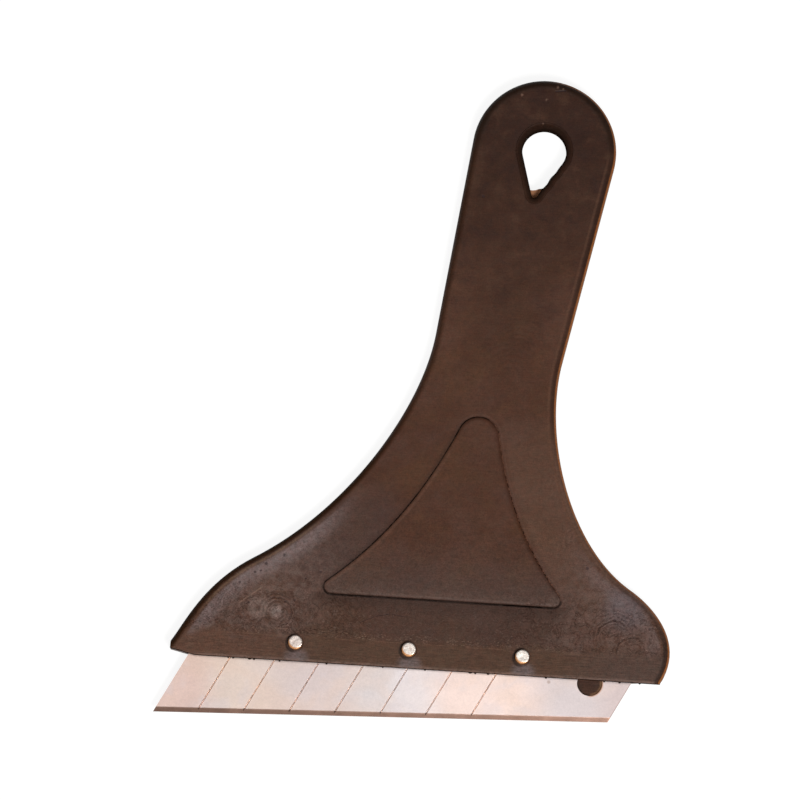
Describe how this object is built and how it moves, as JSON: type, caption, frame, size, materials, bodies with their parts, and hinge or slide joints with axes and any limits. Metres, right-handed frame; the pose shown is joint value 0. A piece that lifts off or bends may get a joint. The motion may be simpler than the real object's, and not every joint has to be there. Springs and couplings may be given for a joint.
{
  "type": "razor blade scraper",
  "caption": "Flat hand scraper: flared plastic handle with a drop-shaped hang hole, holding a wide snap-off steel blade in its jaw under pressed lock pins.",
  "frame": {"origin": "middle of the whole scraper's box in X and Y, on the back face that it lies on", "axes": "+X along the jaw edge towards its right corner, +Y from the blade towards the hang hole, +Z out of the front face that carries the raised pad and the pins"},
  "size_m": [0.1128, 0.1462, 0.0062],
  "materials": {
    "handle": "satin, dark brown",
    "blade": "fine ground, lightly oiled",
    "pins": "turned, bright"
  },
  "bodies": {
    "handle": {"handle": "handle", "lock_pin_left": "pins", "lock_pin_middle": "pins", "lock_pin_right": "pins"},
    "blade": {"blade": "blade"}
  },
  "joints": [
    {"name": "blade_slide", "type": "slide", "parent": "handle", "child": "blade", "axis": [0.0401, -0.9992, 0], "range_m": [0, 0.0095]}
  ]
}
